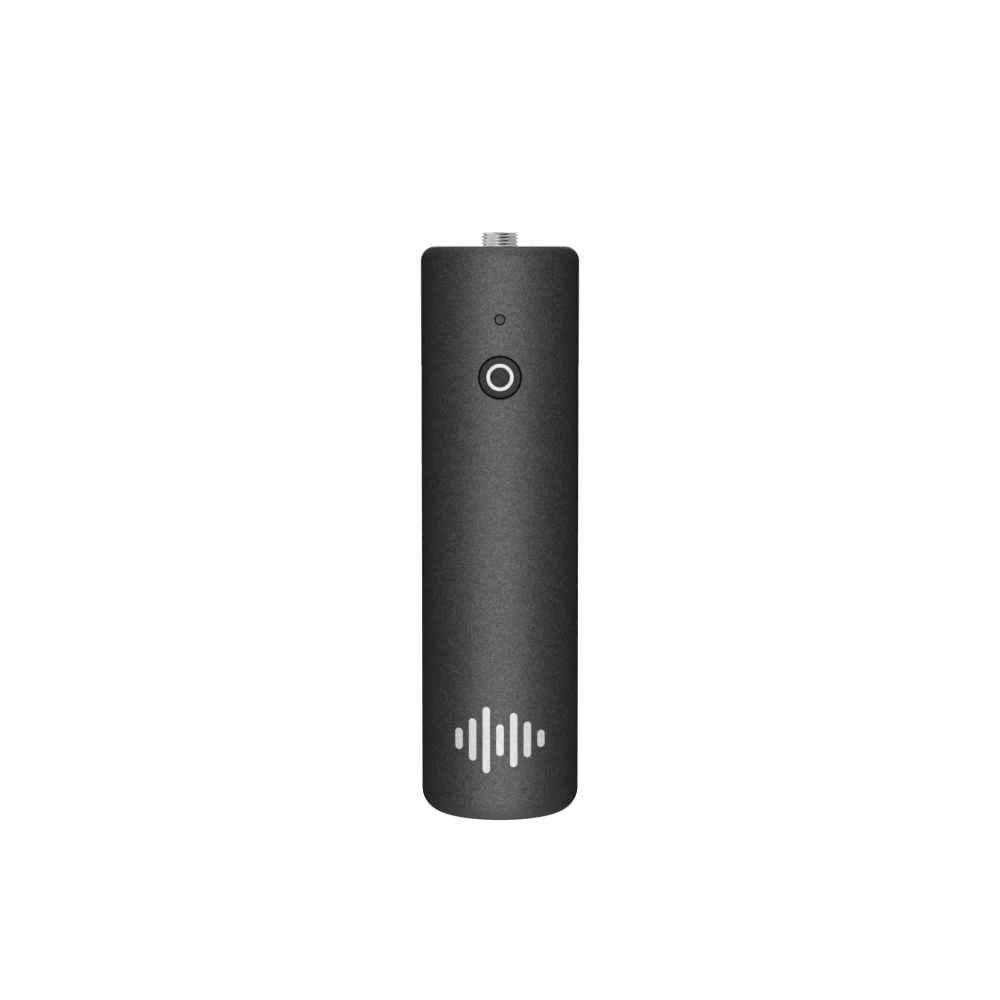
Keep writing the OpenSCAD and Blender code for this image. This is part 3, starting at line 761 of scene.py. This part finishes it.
# the CAD nodes that stay: material, then the nodes made of it
for g, *names in (
    (ink_material(), "front_mark"),
    (speckled("label_film", (0.04, 0.04, 0.041), (0.052, 0.052, 0.053), 1.6, 0.36, 0.003),
     "rear_label"),
    (speckled("black_rubber", grey(0.012), grey(0.025), 2.4, 0.75, 0.01),
     "usb_gasket", "top_seal_ring"),
    # the jack
    (turned("nut_nickel_plating", (0.56, 0.55, 0.53), 0.34, (1, 1, 1), 0.002), "jack_ring_nut"),
    (speckled("jack_moulding", grey(0.02), grey(0.035), 3, 0.45, 0.01), "jack_body"),
    (turned("gold_plating", (0.82, 0.58, 0.2), 0.22, (1, 1, 4), 0.002, 0.1),
     "jack_contacts", "usb_contacts"),
    # the base
    (speckled("port_moulding", grey(0.012), grey(0.02), 4, 0.4, 0.004), "usb_tongue"),
    (turned("black_oxide", (0.09, 0.09, 0.095), 0.34, (1, 1, 0.3), 0.004, 0.03), "base_screws"),
    # the frame and the battery
    (speckled("chassis_moulding", (0.045, 0.047, 0.05), (0.07, 0.073, 0.077), 2.2, 0.55, 0.012),
     "chassis"),
    (speckled("cell_sleeve", (0.02, 0.07, 0.2), (0.03, 0.1, 0.26), 0.6, 0.3, 0.004),
     "battery_cell"),
    (speckled("foam", grey(0.02), grey(0.06), 2.6, 0.9, 0.06), "battery_foam"),
    (turned("nickel_strip", (0.6, 0.59, 0.55), 0.32, (1, 1, 0.08)), "battery_strap"),
    (speckled("red_insulation", (0.4, 0.02, 0.015), (0.5, 0.03, 0.02), 1.8, 0.5, 0.006),
     "battery_lead_positive"),
    (speckled("black_insulation", grey(0.012), grey(0.03), 1.8, 0.5, 0.006),
     "battery_lead_negative"),
    # the boards and what they carry
    (board_material(), "main_board", "charge_board", "battery_protection_board"),
    (turned("zinc_plating", (0.55, 0.56, 0.58), 0.3, (1, 1, 0.5)), "board_screws"),
    (turned("tin_plating", (0.62, 0.62, 0.6), 0.34, (0.2, 1, 1)), "radio_shield"),
    (speckled("chip_epoxy", (0.014, 0.014, 0.015), (0.025, 0.025, 0.026), 4, 0.6, 0.006),
     "chips", "charge_chips"),
    (speckled("passive_ceramic", (0.3, 0.2, 0.1), (0.42, 0.3, 0.17), 2.5, 0.5, 0.008),
     "passives"),
    (speckled("antenna_ceramic", (0.6, 0.58, 0.52), (0.72, 0.7, 0.64), 1.6, 0.35, 0.004),
     "antenna"),
    (speckled("led_epoxy", (0.6, 0.56, 0.42), (0.7, 0.66, 0.52), 1.5, 0.25, 0.002),
     "status_led"),
    (speckled("polyimide", (0.36, 0.14, 0.02), (0.45, 0.19, 0.03), 1.2, 0.3, 0.004),
     "charge_flex"),
    # the switch and the pad behind the button
    (speckled("switch_nylon", grey(0.012), grey(0.022), 3, 0.5, 0.006), "tact_switch"),
    (speckled("plunger_nylon", (0.48, 0.44, 0.36), (0.58, 0.54, 0.46), 2, 0.45, 0.004),
     "switch_plunger"),
    (speckled("silicone", (0.06, 0.06, 0.065), (0.09, 0.09, 0.095), 2, 0.65, 0.006),
     "button_pad"),
):
    for name in names:
        paint(nodes[name], g)

# small edge roundings on the visible metal of the CAD
for name in ("jack_ring_nut", "base_screws"):
    bevel = nodes[name].modifiers.new("edges", "BEVEL")
    bevel.width = 0.05 * MM
    bevel.segments = 2
    bevel.limit_method = "ANGLE"
    bevel.angle_limit = math.radians(40)
    bevel.harden_normals = True

# ---------------------------------------------------------------- stage, light, camera


def build_floor():
    """A pale glowing floor that casts nothing and is clear from below, so the base can be seen."""
    mesh = bpy.data.meshes.new("floor")
    half, level = 6, -0.02 * MM
    corners = [(-half, -half, level), (half, -half, level), (half, half, level), (-half, half, level)]
    mesh.from_pydata(corners, [], [(0, 1, 2, 3)])
    floor = bpy.data.objects.new("floor", mesh)
    scene.collection.objects.link(floor)
    g = Graph("pale_floor", Roughness=0.9)
    g.colour(g.mix(g.noise(0.05, 3), grey(0.78), grey(0.8)))
    g.shader.inputs["Emission Color"].default_value = (1, 1, 1, 1)
    g.shader.inputs["Emission Strength"].default_value = 1.0
    side = g.node("ShaderNodeNewGeometry")
    clear = g.node("ShaderNodeBsdfTransparent")
    one_sided = g.node("ShaderNodeMixShader")
    g.link(side.outputs["Backfacing"], one_sided.inputs["Fac"])
    g.link(g.shader.outputs["BSDF"], one_sided.inputs[1])
    g.link(clear.outputs["BSDF"], one_sided.inputs[2])
    g.link(one_sided.outputs["Shader"], g.tree.nodes["Material Output"].inputs["Surface"])
    paint(floor, g)
    floor.visible_diffuse = False
    floor.visible_glossy = False
    floor.visible_shadow = False


def build_world():
    """White behind the object, and almost no light from all round."""
    world = bpy.data.worlds.new("studio")
    scene.world = world
    world.use_nodes = True
    tree = world.node_tree
    seen, dim = tree.nodes["Background"], tree.nodes.new("ShaderNodeBackground")
    for shader, strength in ((seen, 1.0), (dim, 0.004)):
        shader.inputs["Color"].default_value = (1, 1, 1, 1)
        shader.inputs["Strength"].default_value = strength
    path = tree.nodes.new("ShaderNodeLightPath")
    both = tree.nodes.new("ShaderNodeMixShader")
    tree.links.new(path.outputs["Is Camera Ray"], both.inputs["Fac"])
    tree.links.new(dim.outputs["Background"], both.inputs[1])
    tree.links.new(seen.outputs["Background"], both.inputs[2])
    tree.links.new(both.outputs["Shader"], tree.nodes["World Output"].inputs["Surface"])


def softbox(name, azimuth, elevation, distance, width, height, radiance):
    """A rectangular light that faces the object's middle, with an even radiance."""
    light = bpy.data.lights.new(name, "AREA")
    light.shape = "RECTANGLE"
    light.size, light.size_y = width, height
    light.energy = radiance * math.pi * width * height
    made = bpy.data.objects.new(name, light)
    scene.collection.objects.link(made)
    a, e = math.radians(azimuth), math.radians(elevation)
    outward = Vector((math.sin(a) * math.cos(e), -math.cos(a) * math.cos(e), math.sin(e)))
    made.location = Vector((0, 0, H * MM / 2)) + outward * distance
    made.rotation_mode = "QUATERNION"
    made.rotation_quaternion = (-outward).to_track_quat("-Z", "Y")
    made.visible_camera = False
    return made


build_floor()
build_world()

# name, azimuth, elevation (degrees), distance, width, height (metres), radiance
boxes = [
    softbox("front_box", 0, 0, 1.4, 1.5, 3.5, 3.9),
    softbox("over_box", 0, 86, 1.4, 0.56, 2.7, 3.4),
    softbox("under_box", 0, -78, 1.4, 0.46, 2.2, 3.4),
    softbox("rear_box", 180, 0, 1.6, 0.5, 1.0, 4.4),
]

# white cards all round light the bright metal, and the boxes leave it alone
cards = [
    softbox("left_card", -68, 32, 0.8, 2.3, 1.5, 1.4),
    softbox("right_card", 98, 32, 0.8, 1.1, 1.5, 0.85),
    softbox("back_card", 180, 32, 0.8, 1.6, 1.5, 0.9),
    softbox("top_card", 22, 58, 0.8, 1.0, 0.6, 2.2),
]
lit_by_cards = bpy.data.collections.new("bright_metal")
lit_by_boxes = bpy.data.collections.new("all_but_bright_metal")
for piece in (collar, nodes["jack_ring_nut"]):
    lit_by_cards.objects.link(piece)
    lit_by_boxes.objects.link(piece)
for piece in lit_by_boxes.collection_objects:
    piece.light_linking.link_state = "EXCLUDE"
for one in cards:
    one.light_linking.receiver_collection = lit_by_cards
for one in boxes:
    one.light_linking.receiver_collection = lit_by_boxes

# the camera stands level with the rim and looks a little down
CAMERA_AWAY, CAMERA_DOWN = 0.4226, 5.219
camera = bpy.data.objects.new("camera", bpy.data.cameras.new("camera"))
scene.collection.objects.link(camera)
camera.data.lens = 100
camera.data.sensor_width = 36
camera.data.clip_start = 0.01
camera.data.clip_end = 30
camera.location = (0, -CAMERA_AWAY, H * MM)
camera.rotation_euler = (math.radians(90 - CAMERA_DOWN), 0, 0)
scene.camera = camera

scene.view_settings.view_transform = "Standard"
scene.view_settings.look = "None"
scene.view_settings.exposure = 0
scene.view_settings.gamma = 1
